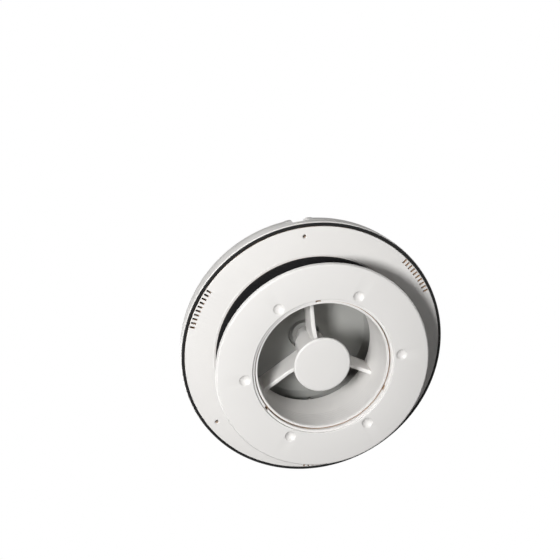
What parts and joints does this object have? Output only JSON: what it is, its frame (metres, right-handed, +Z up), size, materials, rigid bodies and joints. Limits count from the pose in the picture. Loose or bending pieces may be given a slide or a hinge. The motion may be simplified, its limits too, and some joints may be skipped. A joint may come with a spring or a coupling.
{
  "type": "ceiling air diffuser",
  "caption": "Round domed roof and ceiling air vent with a spoked top grille, an air duct closed by a plate on a screw spindle, and a sliding ceiling cover ring.",
  "frame": {"origin": "on the duct axis at the roof surface, which is the underside of the roof gasket", "axes": "+Z up, out of the roof towards the dome; +X towards one dome screw, with the grille's blank bays on -X"},
  "size_m": [0.2364, 0.2364, 0.1118],
  "materials": {
    "white_plastic": "satin",
    "grey_plastic": "satin",
    "black_foam": "matte",
    "black_rubber": "satin",
    "steel": "bright",
    "brass": "satin"
  },
  "bodies": {
    "housing": {"dome_shell": "white_plastic", "dome_grille": "white_plastic", "base_plate": "white_plastic", "duct_tube": "white_plastic", "spider": "white_plastic", "roof_gasket": "black_foam", "valve_seal": "black_foam", "rim_seal": "black_rubber", "dome_screw_1": "steel", "dome_washer_1": "steel", "guide_pin_1": "steel", "dome_screw_2": "steel", "dome_washer_2": "steel", "guide_pin_2": "steel", "dome_screw_3": "steel", "dome_washer_3": "steel", "guide_pin_3": "steel"},
    "knob_set": {"knob": "white_plastic", "spindle": "steel", "spindle_clip": "steel"},
    "valve": {"valve_sleeve": "white_plastic", "valve_plate": "grey_plastic", "sleeve_nut": "brass", "sleeve_clip": "steel"},
    "cover_ring": {"ceiling_ring": "white_plastic"}
  },
  "joints": [
    {"name": "knob_turn", "type": "hinge", "parent": "housing", "child": "knob_set", "pos_m": [0, 0, -0.0272], "axis": [0, 0, 1], "range_deg": [0, 540]},
    {"name": "valve_slide", "type": "slide", "parent": "housing", "child": "valve", "axis": [0, 0, 1], "range_m": [-0.018, 0]},
    {"name": "ring_slide", "type": "slide", "parent": "housing", "child": "cover_ring", "axis": [0, 0, 1], "range_m": [-0.004, 0.014]}
  ],
  "couplings": [
    {"joint": "knob_turn", "follows": "valve_slide", "rad_per_m": -523.6}
  ]
}
